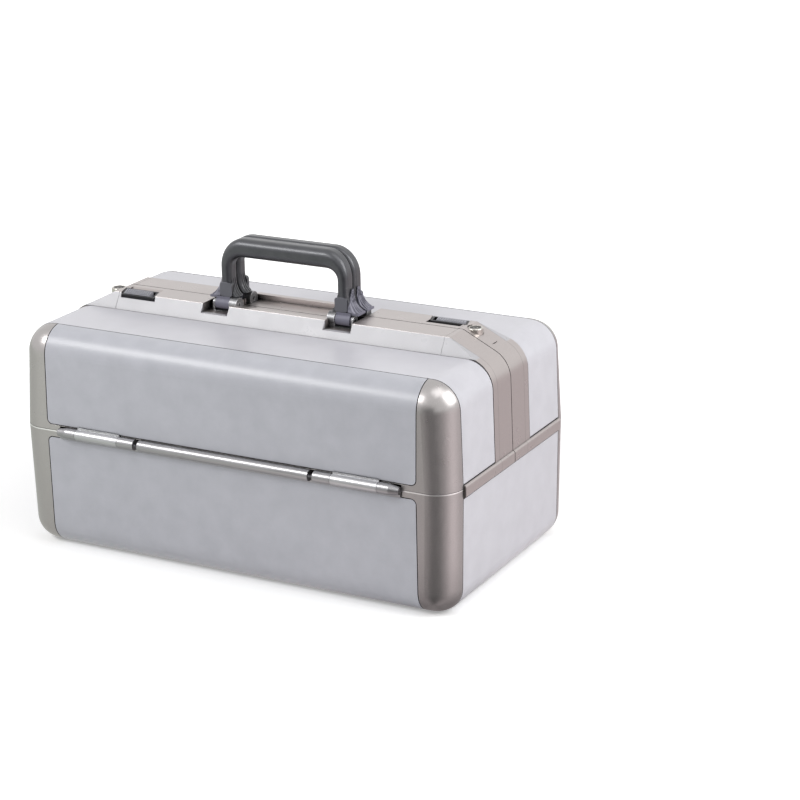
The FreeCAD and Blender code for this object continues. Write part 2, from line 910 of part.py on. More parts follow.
def handle_pin():
    """Hollow-ended pivot pin of the left ear."""
    inner = -(inner_lug_offset - inner_lug_thickness / 2)
    outer = -(outer_lug_offset + outer_lug_thickness / 2)
    pin = rod(handle_pin_radius, outer, inner, handle_y, handle_z)
    hole = rod(pin_hole_radius, inner - pin_hole_depth, inner, handle_y, handle_z)
    return pin.cut(hole)


def latch_bezel():
    """Frame of the latch with its floor and the slot for the stem."""
    reach_x = latch_length / 2
    reach_y = latch_width / 2
    frame = slanted_block((-reach_x, reach_x), reach_y, (-latch_height, 0))
    well_x = reach_x - latch_frame
    well_y = reach_y - latch_frame
    floor_z = -latch_height + latch_floor
    well = slanted_block((-well_x, well_x), well_y, (floor_z, far))
    x_range = latch_stem_range()
    x_range = (x_range[0] - fit_gap, x_range[1] + latch_travel + fit_gap)
    reach = latch_stem_width / 2 + fit_gap
    slot = box(x_range, (-reach, reach), (-far, 0))
    frame = frame.cut([well, slot])
    upright = [edge for edge in frame.Edges if abs(edge.tangentAt(0).z) > 0.9]
    corners = [edge for edge in upright if abs(edge.CenterOfMass.y) > reach_y - 0.01]
    return placed_latch(frame.makeFillet(latch_frame / 2, corners))


def latch_button():
    """Ribbed button of the latch with its stem."""
    x_low, x_high = latch_button_range()
    reach = latch_width / 2 - latch_frame - fit_gap
    floor_z = -latch_height + latch_floor + fit_gap
    top = latch_button_rise
    button = slanted_block((x_low, x_high), reach, (floor_z, top))
    pitch = (x_high - x_low) / latch_rib_count
    ribs = []
    for index in range(latch_rib_count):
        middle = x_low + (index + 0.5) * pitch
        x_range = (middle - latch_rib_width / 2, middle + latch_rib_width / 2)
        ribs.append(slanted_block(x_range, reach - latch_rib_width, (top, top + latch_rib_height)))
    stem_y = latch_stem_width / 2
    stem = box(latch_stem_range(), (-stem_y, stem_y), (latch_hook_top(), floor_z))
    return placed_latch(button.fuse(ribs + [stem]).removeSplitter())


def latch_hook_top():
    """Upper face of the latch hook in the latch's own frame."""
    return -latch_height - spine_wall / 2 - 2 * fit_gap


def latch_hook():
    """Hook plate under the latch, reaching towards the middle of the case."""
    x_range = latch_stem_range()
    top = latch_hook_top()
    y_range = (-latch_stem_width / 2, latch_hook_reach)
    return placed_latch(box(x_range, y_range, (top - latch_hook_thickness, top)))


def latch_keeper():
    """Keeper for the front latch, on the inside of the other lid's middle wall."""
    x_range = (-latch_offset - keeper_length / 2, -latch_offset + keeper_length / 2)
    start = lid_edge + middle_wall + pin_clearance
    low = lid_top + keeper_height / 2
    return box(x_range, (start, start + keeper_thickness), (low, low + keeper_height))


def lock_top():
    """Height of the lock's upper face."""
    return lid_top + lock_top_rise


def cam_top():
    """Height of the cam's upper face."""
    return lid_top - band_thickness + cam_rise + cam_thickness


def lock_collar():
    """Fixed collar of the lock."""
    bottom = lid_top + cam_rise + cam_clearance
    ring = post(lock_collar_radius, -lock_offset, -lock_setback, bottom, lock_top())
    bore = post(lock_collar_radius - lock_collar_wall, -lock_offset, -lock_setback, 0, far)
    rim = [edge for edge in level_edges(ring, lock_top()) if edge.BoundBox.XLength > lock_collar_radius]
    return ring.makeFillet(lock_collar_wall / 2, rim).cut(bore)


def lock_plug():
    """Turning plug of the lock with its key slot."""
    radius = lock_collar_radius - lock_collar_wall - lock_plug_clearance
    top = lock_top() - lock_plug_drop
    plug = post(radius, -lock_offset, -lock_setback, cam_top(), top)
    half_slot = key_slot_length / 2
    half_width = key_slot_width / 2
    slot = box(
        (-lock_offset - half_slot, -lock_offset + half_slot),
        (-lock_setback - half_width, -lock_setback + half_width),
        (top - key_slot_depth, far),
    )
    return plug.cut(slot)


def lock_cam():
    """Cam under the plug, lying along the case while the lock is open."""
    half = cam_width / 2
    top = cam_top()
    bottom = top - cam_thickness
    bar = box(
        (-lock_offset, -lock_offset + cam_length - half),
        (-lock_setback - half, -lock_setback + half),
        (bottom, top),
    )
    ends = [
        post(half, -lock_offset, -lock_setback, bottom, top),
        post(half, -lock_offset + cam_length - half, -lock_setback, bottom, top),
    ]
    return bar.fuse(ends).removeSplitter()


def tray_nodes():
    """Every piece of the tray body by node name."""
    shrink = -seam_gap / 2
    front = tray_skin(tray_front_window(shrink))
    left = tray_skin(tray_end_window(shrink))
    strip = tray_hinge_strip()
    pins = hinge_pins()
    return {
        "tray_shell": tray_shell(),
        "tray_front_skin": front,
        "tray_back_skin": half_turn(front),
        "tray_left_skin": left,
        "tray_right_skin": half_turn(left),
        "tray_base_panel": tray_skin(tray_base_window(shrink)),
        "tray_lining": tray_lining(),
        "tray_front_hinge": strip,
        "tray_back_hinge": half_turn(strip),
        "front_hinge_pins": pins,
        "back_hinge_pins": half_turn(pins),
    }


def front_lid_nodes():
    """Every piece of the front lid and what it carries. Names with left and right are pairs."""
    spine, left_end, right_end = spine_lengths()
    ear = handle_ear()
    bracket = handle_bracket()
    pin = handle_pin()
    return {
        "lid_shell": lid_shell(),
        "lid_face_skin": lid_face_skin(),
        "lid_top_skin": lid_top_skin(),
        "lid_lining": lid_lining(),
        "lid_spine": spine,
        "left_end_frame": left_end,
        "right_end_frame": right_end,
        "lid_hinge_knuckles": lid_hinge_knuckles(),
        "handle_grip": handle_grip(),
        "left_handle_ear": ear,
        "right_handle_ear": mirror_x(ear),
        "left_handle_bracket": bracket,
        "right_handle_bracket": mirror_x(bracket),
        "left_handle_pin": pin,
        "right_handle_pin": mirror_x(pin),
        "latch_bezel": latch_bezel(),
        "latch_button": latch_button(),
        "latch_hook": latch_hook(),
        "latch_keeper": latch_keeper(),
        "lock_collar": lock_collar(),
        "lock_plug": lock_plug(),
        "lock_cam": lock_cam(),
    }


def turned_name(name):
    """Name of a front piece's partner on the back, whose left is the front's right."""
    swapped = {"left": "right", "right": "left"}
    return "_".join(swapped.get(word, word) for word in name.split("_"))


def main():
    os.makedirs("parts", exist_ok=True)
    nodes = tray_nodes()
    for name, shape in front_lid_nodes().items():
        nodes["front_" + name] = shape
        nodes["back_" + turned_name(name)] = half_turn(shape)
    for name, shape in nodes.items():
        shape.exportStep(os.path.join("parts", name + ".step"))
        solids = len(shape.Solids)
        print(f"{name}: {solids} solid(s), {shape.Volume / 1000:.2f} cm3, valid {shape.isValid()}")


main()
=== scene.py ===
import json
import math

import bpy
from mathutils import Matrix, Vector


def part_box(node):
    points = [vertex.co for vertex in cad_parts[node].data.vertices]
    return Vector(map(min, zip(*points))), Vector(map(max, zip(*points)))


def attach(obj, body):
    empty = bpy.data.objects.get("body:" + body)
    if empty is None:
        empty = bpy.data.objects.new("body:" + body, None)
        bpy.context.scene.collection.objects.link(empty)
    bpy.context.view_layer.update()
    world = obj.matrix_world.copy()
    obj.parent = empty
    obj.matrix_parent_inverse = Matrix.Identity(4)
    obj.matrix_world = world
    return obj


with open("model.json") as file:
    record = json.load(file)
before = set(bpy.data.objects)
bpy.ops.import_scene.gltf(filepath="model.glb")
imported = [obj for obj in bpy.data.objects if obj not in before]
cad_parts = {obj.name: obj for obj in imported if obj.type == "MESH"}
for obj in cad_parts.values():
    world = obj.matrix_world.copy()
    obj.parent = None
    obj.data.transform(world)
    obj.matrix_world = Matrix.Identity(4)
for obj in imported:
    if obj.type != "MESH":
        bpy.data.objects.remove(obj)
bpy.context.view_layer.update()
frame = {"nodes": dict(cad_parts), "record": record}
NODES = frame["nodes"]
MM = 0.001

# Camera, found by fitting the outline, seams and handle of the case in the photograph
CAMERA_AZIMUTH = 28.081
CAMERA_ELEVATION = 18.524
CAMERA_DISTANCE = 2.146642
CAMERA_ROLL = -0.874
CAMERA_SIDEWAYS = 0.096355
CAMERA_UPWARDS = 0.019082
CAMERA_AIM_HEIGHT = 0.110
FOCAL_PIXELS = 2345.531
PICTURE_PIXELS = 800
SENSOR_WIDTH = 36.0

# Places of the fittings, read from the frame
LID_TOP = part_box("front_lid_top_skin")[1][2]
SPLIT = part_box("tray_shell")[1][2]
EAR_LOW, EAR_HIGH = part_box("front_left_handle_ear")
PLUG_LOW, PLUG_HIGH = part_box("front_lock_plug")
RIDGE_SETBACK = 26.3 * MM

# Setbacks from the middle and heights of the fan's pleats and the leg's ribs, in mm
PLEAT_SETBACKS = ((5.9, 13.2), (5.3, 10.2), (4.7, 7.0), (4.1, 3.6))
PLEAT_HEIGHTS = (243.5, 227.0)
PLEAT_RADII = (0.25, 0.75)
RIB_SETBACKS = (11.6, 8.6, 5.6)
RIB_HEIGHTS = (243.0, 227.2)
RIB_RADII = (0.3, 0.65)
OUTSIDE_LEFT_LEG = -90
INSIDE_LEFT_LEG = -20
TRACE_STEPS = 8

# Studio
ROOM_LIGHT = 0.45
AIM_HEIGHT = 0.1
TABLE_SIZE = 16
TABLE_SHINE = 1.22
RIGHT_FRONT_POST = (0.2, -0.12, 0)
# Azimuth, brightness and width of each dark side of the room painted into the table's reflections, as
# seen from the right front post
DARK_SIDES = ((19, 0.11, 0.35), (155, 0.56, 0.6), (-110, 0.6, 0.5))


def linear(hex_colour):
    """Linear RGBA of an sRGB hex colour such as B4B5BD."""
    channels = []
    for start in (0, 2, 4):
        value = int(hex_colour[start:start + 2], 16) / 255
        channels.append(value / 12.92 if value <= 0.04045 else ((value + 0.055) / 1.055) ** 2.4)
    return (*channels, 1.0)


def add_node(tree, kind, settings, output=0):
    """Adds a shader node and returns one of its outputs. A setting that is a socket is linked, and any
    other becomes the value of an input, with hex colours made linear, or a property of the node."""
    node = tree.nodes.new(kind)
    for name, value in settings.items():
        if isinstance(value, bpy.types.NodeSocket):
            tree.links.new(value, node.inputs[name])
        elif isinstance(name, int) or name in node.inputs.keys():
            node.inputs[name].default_value = linear(value) if isinstance(value, str) else value
        else:
            setattr(node, name, value)
    return node.outputs[output]


def new_material(name, colour, roughness, metallic=0.0, **constants):
    """Principled material with its plain values. Returns it, its tree, shader and position socket."""
    material = bpy.data.materials.new(name)
    material.use_nodes = True
    material.diffuse_color = linear(colour)
    tree = material.node_tree
    tree.nodes.clear()
    output = tree.nodes.new("ShaderNodeOutputMaterial")
    shader = tree.nodes.new("ShaderNodeBsdfPrincipled")
    tree.links.new(shader.outputs[0], output.inputs["Surface"])
    values = {"Base Color": linear(colour), "Roughness": roughness, "Metallic": metallic}
    values.update({key.replace("_", " "): value for key, value in constants.items()})
    for socket, value in values.items():
        shader.inputs[socket].default_value = value
    place = tree.nodes.new("ShaderNodeTexCoord").outputs["Object"]
    return material, tree, shader, place


def grain(tree, place, size_mm, detail, stretch=(1, 1, 1)):
    """Uneven pattern between 0 and 1 whose spots are about size_mm wide, drawn out along the axes."""
    scaled = add_node(tree, "ShaderNodeMapping", {
        "Vector": place, "Scale": [1 / (size_mm * MM * amount) for amount in stretch],
    })
    return add_node(tree, "ShaderNodeTexNoise", {
        "Vector": scaled, "Scale": 1.0, "Detail": detail, "Roughness": 0.55,
    })


def mottled(tree, pattern, first, second, amount=(0, 1)):
    """Colour that wanders between two others as the pattern does, by the given amounts."""
    factor = add_node(tree, "ShaderNodeMapRange", {
        "Value": pattern, "From Min": 0.3, "From Max": 0.7, "To Min": amount[0], "To Max": amount[1],
    })
    return add_node(tree, "ShaderNodeMix", {
        "data_type": "RGBA", "Factor": factor, 6: first, 7: second,
    }, 2)


def painted(tree, tone, mask, strength, colour):
    """The tone with a colour laid over it where the mask is 1."""
    cover = add_node(tree, "ShaderNodeMath", {"operation": "MULTIPLY", 0: mask, 1: strength})
    return add_node(tree, "ShaderNodeMix", {
        "data_type": "RGBA", "Factor": cover, 6: tone, 7: colour,
    }, 2)


def within(tree, value, low, high):
    """Mask that is 1 where the value lies between low and high, else 0."""
    above = add_node(tree, "ShaderNodeMath", {"operation": "GREATER_THAN", 0: value, 1: low})
    below = add_node(tree, "ShaderNodeMath", {"operation": "LESS_THAN", 0: value, 1: high})
    return add_node(tree, "ShaderNodeMath", {"operation": "MULTIPLY", 0: above, 1: below})


def distances_from_middle(tree, place):
    """Distance from the middle along the case, distance across it, and height."""
    node = tree.nodes.new("ShaderNodeSeparateXYZ")
    tree.links.new(place, node.inputs[0])
    along = add_node(tree, "ShaderNodeMath", {"operation": "ABSOLUTE", 0: node.outputs[0]})
    across = add_node(tree, "ShaderNodeMath", {"operation": "ABSOLUTE", 0: node.outputs[1]})
    return along, across, node.outputs[2]


def vary_gloss(tree, shader, pattern, least, most):
    """Roughness that wanders between two values as the pattern does."""
    roughness = add_node(tree, "ShaderNodeMapRange", {
        "Value": pattern, "From Min": 0.3, "From Max": 0.7, "To Min": least, "To Max": most,
    })
    tree.links.new(roughness, shader.inputs["Roughness"])


def relief(tree, shader, height, depth_mm, strength=1.0, edge_mm=0.35):
    """Bump of a real depth laid over edges that look rounded by edge_mm."""
    edge = add_node(tree, "ShaderNodeBevel", {"samples": 4, "Radius": edge_mm * MM})
    bump = add_node(tree, "ShaderNodeBump", {
        "Strength": strength, "Distance": depth_mm * MM, "Height": height, "Normal": edge,
    })
    tree.links.new(bump, shader.inputs["Normal"])


def seam_painted_shade(tree, shader, tone, dark, reach_mm=3.0):
    """Gives the shader the tone with painted shade: dark down in the narrow seams between the pieces,
    where ambient occlusion finds them closed in.
    """
    openness = add_node(tree, "ShaderNodeAmbientOcclusion", {
        "samples": 6, "Distance": reach_mm * MM, "only_local": False,
    }, "AO")
    depth = add_node(tree, "ShaderNodeMapRange", {
        "Value": openness, "From Min": 0.38, "From Max": 0.84, "To Min": 1.0, "To Max": 0.0,
    })
    tree.links.new(painted(tree, tone, depth, 1.0, dark), shader.inputs["Base Color"])


def metallic_lacquer(name, colour, pale, dark, lit_slope_colour=None):
    """Moulded ABS under a two-coat metallic lacquer: fine flakes and long soft reflections."""
    material, tree, shader, place = new_material(
        name, colour, 0.3, 0.82, Coat_Weight=0.15, Coat_Roughness=0.2
    )
    # Flakes of 0.1 mm drawn 0.7 mm wide, so that they show at all
    flakes = grain(tree, place, 0.7, 2.0)
    clouds = grain(tree, place, 12.0, 4.0)
    tone = mottled(tree, flakes, dark, pale, (0.25, 0.75))
    tone = mottled(tree, clouds, tone, colour, (0, 0.4))
    across, height = distances_from_middle(tree, place)[1:]
    if lit_slope_colour:
        # Painted light on the spine's side slopes and painted shade along its ridges
        tone = slope_painted_light(tree, shader, tone, across, height, lit_slope_colour)
        shade_reach = 9.0
    else:
        # Painted highlight along the tray's rim under the split, where its edge catches the light
        rim_highlight = within(tree, height, SPLIT - 1.3 * MM, SPLIT - 0.2 * MM)
        tone = painted(tree, tone, rim_highlight, 0.8, "F6F5F4")
        shade_reach = 3.0
    # Painted shade in the seams and inner corners, from ambient occlusion
    seam_painted_shade(tree, shader, tone, "100F0F", shade_reach)
    vary_gloss(tree, shader, clouds, 0.27, 0.34)
    # Orange peel of the lacquer, about 2 mm from crest to crest
    relief(tree, shader, grain(tree, place, 2.0, 1.0), 0.012)
    return material


def slope_painted_light(tree, shader, tone, across, height, colour):
    """Paler colour without flakes on the side slopes of the spine, painted light for the light the
    slopes catch, with a painted shade line along its ridges.
    """
    past_ridge = add_node(tree, "ShaderNodeMapRange", {
        "Value": across, "From Min": RIDGE_SETBACK, "From Max": RIDGE_SETBACK + 0.4 * MM,
    })
    above_lid = add_node(tree, "ShaderNodeMapRange", {
        "Value": height, "From Min": LID_TOP - 0.5 * MM, "From Max": LID_TOP,
    })
    on_slope = add_node(tree, "ShaderNodeMath", {"operation": "MULTIPLY", 0: past_ridge, 1: above_lid})
    flakes_left = add_node(tree, "ShaderNodeMapRange", {
        "Value": on_slope, "From Min": 0, "From Max": 0.9, "To Min": 0.82, "To Max": 0,
    })
    tree.links.new(flakes_left, shader.inputs["Metallic"])
    # Painted shade: a dark line along the ridges, where their rounded edges turn from the light
    ridge_shade_line = within(tree, across, RIDGE_SETBACK - 0.3 * MM, RIDGE_SETBACK + 0.3 * MM)
    # Painted light: the slopes get their own colour for the light they catch
    tone = painted(tree, tone, on_slope, 1.0, colour)
    return painted(tree, tone, ridge_shade_line, 0.5, "77736F")


def embossed_skin(name, colour, pale, dark):
    """Calendered PVC-faced ABS sheet with a fine hide grain: satin, a little cloudy."""
    material, tree, shader, place = new_material(
        name, colour, 0.36, 0.0, Coat_Weight=0.3, Coat_Roughness=0.27
    )
    cells = add_node(tree, "ShaderNodeTexVoronoi", {
        "Vector": place, "Scale": 1 / (1.1 * MM), "feature": "SMOOTH_F1",
    }, "Distance")
    creases = add_node(tree, "ShaderNodeMapRange", {"Value": cells, "From Min": 0.15, "From Max": 0.75})
    clouds = grain(tree, place, 18.0, 5.0)
    tone = mottled(tree, clouds, dark, pale, (0.1, 0.9))
    tone = painted(tree, tone, creases, 0.12, dark)
    # Painted shade in the seams, from ambient occlusion
    seam_painted_shade(tree, shader, tone, "1C1C1F")
    vary_gloss(tree, shader, clouds, 0.33, 0.4)
    relief(tree, shader, creases, 0.03, 0.6)
    return material


def drawn_aluminium(name, colour, pale):
    """Satin anodised aluminium extrusion: fine lines along the case from the die."""
    material, tree, shader, place = new_material(name, colour, 0.34, 1.0)
    lines = grain(tree, place, 0.5, 3.0, (60, 1, 1))
    tree.links.new(mottled(tree, lines, colour, pale), shader.inputs["Base Color"])
    vary_gloss(tree, shader, lines, 0.26, 0.42)
    relief(tree, shader, lines, 0.01, 0.6, 0.25)
    return material


def glass_filled_nylon():
    """Handle mouldings of charcoal glass-filled nylon: satin, finely spark-eroded, paler pads."""
    material, tree, shader, place = new_material(
        "glass_filled_nylon", "3E3F44", 0.42, 0.6, Coat_Weight=0.8, Coat_Roughness=0.3
    )
    along, across, height = distances_from_middle(tree, place)
    wear = grain(tree, place, 9.0, 4.0)
    tone = mottled(tree, wear, "38393E", "444549")
    # The pad is the front of the leg's foot, which stands on the ear
    foot = EAR_LOW[2] + 13 * MM
    front = within(tree, across, 14.6 * MM, 15.6 * MM)
    pad_height = within(tree, height, foot - 1 * MM, foot + 13.4 * MM)
    pad_width = within(tree, along, 53 * MM, 66 * MM)
    pad = add_node(tree, "ShaderNodeMath", {"operation": "MULTIPLY", 0: front, 1: pad_height})
    pad = add_node(tree, "ShaderNodeMath", {"operation": "MULTIPLY", 0: pad, 1: pad_width})
    tree.links.new(painted(tree, tone, pad, 0.4, "7C7C86"), shader.inputs["Base Color"])
    vary_gloss(tree, shader, wear, 0.38, 0.46)
    relief(tree, shader, grain(tree, place, 0.8, 3.0), 0.02, 0.7, 0.6)
    return material


def ear_nylon():
    """Handle roots of purple-grey nylon: matt, with fine pleats that spread down the fan, painted light
    on their crests and painted shade in their hollows.
    """
    material, tree, shader, place = new_material("ear_nylon", "6F6E7C", 0.5)
    across, height = distances_from_middle(tree, place)[1:]
    grit = grain(tree, place, 0.6, 3.0)
    # The pleats run together at a point above the fan's tip
    fan_middle = 8.4 * MM
    pleat_rate = 62.0
    drop = add_node(tree, "ShaderNodeMath", {
        "operation": "SUBTRACT", 0: EAR_HIGH[2] + 8 * MM, 1: height,
    })
    side = add_node(tree, "ShaderNodeMath", {"operation": "SUBTRACT", 0: across, 1: fan_middle})
    slant = add_node(tree, "ShaderNodeMath", {"operation": "DIVIDE", 0: side, 1: drop})
    angle = add_node(tree, "ShaderNodeMath", {"operation": "MULTIPLY", 0: slant, 1: pleat_rate})
    wave = add_node(tree, "ShaderNodeMath", {"operation": "SINE", 0: angle})
    crests = add_node(tree, "ShaderNodeMapRange", {"Value": wave, "From Min": -1, "From Max": 1})
    on_fan = add_node(tree, "ShaderNodeMath", {
        "operation": "GREATER_THAN", 0: height, 1: EAR_LOW[2] + 12.9 * MM,
    })
    pleats = add_node(tree, "ShaderNodeMath", {"operation": "MULTIPLY", 0: crests, 1: on_fan})
    # Painted light and shade of the pleats: pale on their crests, dark in the hollows
    pleat_light_and_shade = painted(tree, "5C5B68", pleats, 1.0, "8D8C99")
    tone = painted(tree, mottled(tree, grit, "686775", "777684"), on_fan, 1.0, pleat_light_and_shade)
    # Painted shade in the seams, from ambient occlusion
    seam_painted_shade(tree, shader, tone, "26262B")
    fine = add_node(tree, "ShaderNodeMath", {"operation": "MULTIPLY", 0: grit, 1: 0.04})
    surface = add_node(tree, "ShaderNodeMath", {"operation": "ADD", 0: pleats, 1: fine})
    relief(tree, shader, surface, 0.5, 0.8, 0.4)
    return material


def pressure_casting():
    """Zinc pressure casting as it leaves the tumbler: grey, pitted, bright on its edges."""
    material, tree, shader, place = new_material("tumbled_zinc_casting", "8E8E90", 0.42, 0.85)
    pits = grain(tree, place, 0.7, 5.0)
    tone = mottled(tree, pits, "6E6E70", "A6A6A8")
    rounded = add_node(tree, "ShaderNodeBevel", {"samples": 6, "Radius": 0.7 * MM})
    flat = add_node(tree, "ShaderNodeNewGeometry", {}, "Normal")
    likeness = add_node(tree, "ShaderNodeVectorMath", {
        "operation": "DOT_PRODUCT", 0: rounded, 1: flat,
    }, "Value")
    edge = add_node(tree, "ShaderNodeMapRange", {
        "Value": likeness, "From Min": 0.86, "From Max": 0.985, "To Min": 1.0, "To Max": 0.0,
    })
    tree.links.new(painted(tree, tone, edge, 1.0, "E8E8EA"), shader.inputs["Base Color"])
    vary_gloss(tree, shader, pits, 0.32, 0.5)
    relief(tree, shader, pits, 0.05, 0.8, 0.5)
    return material


def black_acetal():
    """Latch frames of black acetal: smooth, with a waxy gloss."""
    material, tree, shader, place = new_material(
        "black_acetal", "141417", 0.36, 0.0, Specular_IOR_Level=0.3
    )
    haze = grain(tree, place, 6.0, 3.0)
    tree.links.new(mottled(tree, haze, "101013", "1A1A1E"), shader.inputs["Base Color"])
    vary_gloss(tree, shader, haze, 0.3, 0.42)
    relief(tree, shader, haze, 0.01, 0.5, 0.4)
    return material


def grey_acetal():
    """Latch buttons of mid-grey acetal, a little mottled, with painted shade that leaves the ribs pale
    and darkens between them.
    """
    material, tree, shader, place = new_material("grey_acetal", "8E8E96", 0.45)
    rub = grain(tree, place, 1.2, 3.0)
    # Painted shade between the ribs, from ambient occlusion
    seam_painted_shade(tree, shader, mottled(tree, rub, "95959D", "A9A9B1"), "1E1E22", 0.8)
    relief(tree, shader, rub, 0.02, 0.6, 0.3)
    return material


def nickel_plate():
    """Lock collars of satin nickel plate, a little warm."""
    material, tree, shader, place = new_material("satin_nickel", "C2BEB8", 0.22, 1.0)
    cloud = grain(tree, place, 3.0, 3.0)
    tree.links.new(mottled(tree, cloud, "B6B2AC", "D0CCC6"), shader.inputs["Base Color"])
    vary_gloss(tree, shader, cloud, 0.18, 0.3)
    relief(tree, shader, cloud, 0.01, 0.4, 0.5)
    return material


def blackened_plug():
    """Lock plugs of blackened brass, with a nickel-bright ring round the key slot."""
    material, tree, shader, place = new_material("blackened_brass", "1B1A1B", 0.4, 0.15)
    along, across, _ = distances_from_middle(tree, place)
    middle = [abs(PLUG_LOW[axis] + PLUG_HIGH[axis]) / 2 for axis in (0, 1)]
    # Both locks lie equally far from the middle of the case
    spot = add_node(tree, "ShaderNodeCombineXYZ", {0: along, 1: across})
    radius = add_node(tree, "ShaderNodeVectorMath", {
        "operation": "DISTANCE", 0: spot, 1: (*middle, 0),
    }, "Value")
    worn = grain(tree, place, 0.8, 3.0)
    ring = within(tree, radius, 1.4 * MM, 2.3 * MM)
    tone = painted(tree, mottled(tree, worn, "131213", "242324"), ring, 0.8, "A9A6A1")
    tree.links.new(tone, shader.inputs["Base Color"])
    relief(tree, shader, worn, 0.02, 0.5, 0.3)
    return material


def turned_steel():
    """Pins, hooks, keepers and cams of bright turned steel."""
    material, tree, shader, place = new_material("turned_steel", "A9AAAD", 0.28, 1.0)
    lines = grain(tree, place, 0.25, 2.0, (1, 1, 12))
    tree.links.new(mottled(tree, lines, "9C9DA0", "B9BABD"), shader.inputs["Base Color"])
    vary_gloss(tree, shader, lines, 0.22, 0.36)
    relief(tree, shader, lines, 0.01, 0.5, 0.25)
    return material


def flocked_liner():
    """Vacuum-formed liner with dark grey flock: matt, soft at the edges, a little patchy."""
    material, tree, shader, place = new_material(
        "flocked_liner", "5A5B60", 0.95, 0.0, Sheen_Weight=0.5, Sheen_Roughness=0.5
    )
    fibres = grain(tree, place, 0.6, 4.0)
    patches = grain(tree, place, 22.0, 4.0)
    tone = mottled(tree, fibres, "4A4B50", "66676C")
    tone = mottled(tree, patches, tone, "5A5B60", (0, 0.4))
    tree.links.new(tone, shader.inputs["Base Color"])
    relief(tree, shader, fibres, 0.15, 0.9)
    return material


def dress(node, material):
    """Gives a CAD node its finish."""
    mesh = NODES[node].data
    mesh.materials.clear()
    mesh.materials.append(material)


def dress_all():
    """Finishes every CAD node by its material slot."""
    finishes = {
        "shell_moulding": metallic_lacquer("warm_metallic_lacquer", "ADA9A8", "BAB6B5", "9F9B9A"),
        "face_skin": embossed_skin("silver_embossed_skin", "B1B2B9", "B6B7BE", "ACADB4"),
        # The end skins get a paler copy of the face skin's colours: painted light, for the stronger
        # light on the ends
        "end_skin": embossed_skin("pale_embossed_skin", "C4C3C9", "C8C7CD", "BFBEC4"),
        # The closing frame's last colour is painted light on the spine's side slopes
        "closing_frame": metallic_lacquer(
            "pale_metallic_lacquer", "B9B1AF", "C6BEBC", "ABA4A2", "ADACB0"
        ),
        "lining": flocked_liner(),
        "hinge_aluminium": drawn_aluminium("satin_anodised_aluminium", "939294", "ABAAAC"),
        "handle_plastic": glass_filled_nylon(),
        "ear_plastic": ear_nylon(),
        "bracket_casting": pressure_casting(),
        "latch_plastic": black_acetal(),
        "button_plastic": grey_acetal(),
        "chrome": nickel_plate(),
        "steel": turned_steel(),
    }
    for entry in frame["record"]["subparts"]:
        dress(entry["node"], finishes[entry["material_slot"]])
    knuckles = drawn_aluminium("bright_anodised_aluminium", "ABABAD", "C0C0C2")
    plug = blackened_plug()
    for lid in ("front", "back"):
        dress(lid + "_lid_hinge_knuckles", knuckles)
        dress(lid + "_lock_plug", plug)


def trace(node, start_x, direction, setbacks, heights):
    """Points on the surface of a node from one height down to another, found with level rays."""
    points = []
    for step in range(TRACE_STEPS + 1):
        share = step / TRACE_STEPS
        setback = setbacks[0] + share * (setbacks[1] - setbacks[0])
        height = heights[0] + share * (heights[1] - heights[0])
        origin = Vector((start_x, -setback, height)) * MM
        hit, place, _, _ = NODES[node].ray_cast(origin, Vector((direction, 0, 0)))
        if hit:
            points.append(place)
    return points


def ridge(points, radii):
    """Round ridge that follows the points and grows from the first radius to the last, in mm."""
    bpy.ops.object.select_all(action="DESELECT")
    bpy.ops.mesh.primitive_circle_add(
        vertices=10, radius=radii[0] * MM, fill_type="NGON", location=points[0]
    )
    bpy.ops.object.mode_set(mode="EDIT")
    bpy.ops.mesh.select_all(action="SELECT")
    radius = radii[0]
    for index in range(1, len(points)):
        target = radii[0] + index / (len(points) - 1) * (radii[1] - radii[0])
        move = points[index] - points[index - 1]
        bpy.ops.mesh.extrude_region_move(TRANSFORM_OT_translate={"value": move})
        bpy.ops.transform.resize(value=[target / radius] * 3, center_override=points[index])
        radius = target
    bpy.ops.mesh.select_all(action="SELECT")
    bpy.ops.mesh.normals_make_consistent(inside=False)
    bpy.ops.object.mode_set(mode="OBJECT")
    bpy.ops.object.transform_apply(location=True, rotation=True, scale=True)
    bpy.ops.object.shade_smooth_by_angle(angle=math.radians(40))
    return bpy.context.object


def joined(name, pieces):
    """One named object out of several."""
    bpy.ops.object.select_all(action="DESELECT")
    for piece in pieces:
        piece.select_set(True)
    bpy.context.view_layer.objects.active = pieces[0]
    bpy.ops.object.join()
    pieces[0].name = name
    pieces[0].data.name = name
    return pieces[0]


def copy_to_all_legs(first, part, body_part):
    """Copies a piece of the front left leg to the other legs, by mirroring and half turning."""
    for lid, side, scale in (
        ("front", "right", (-1, 1, 1)), ("back", "right", (-1, -1, 1)), ("back", "left", (1, -1, 1)),
    ):
        twin = first.copy()
        twin.data = first.data.copy()
        twin.name = f"{lid}_{side}_{part}"
        twin.data.name = twin.name
        bpy.context.collection.objects.link(twin)
        bpy.ops.object.select_all(action="DESELECT")
        twin.select_set(True)
        bpy.context.view_layer.objects.active = twin
        twin.scale = scale
        bpy.ops.object.transform_apply(location=True, rotation=True, scale=True)
        bpy.ops.object.mode_set(mode="EDIT")
        bpy.ops.mesh.select_all(action="SELECT")
        bpy.ops.mesh.normals_make_consistent(inside=False)
        bpy.ops.object.mode_set(mode="OBJECT")
        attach(twin, lid + body_part)
    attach(first, "front" + body_part)


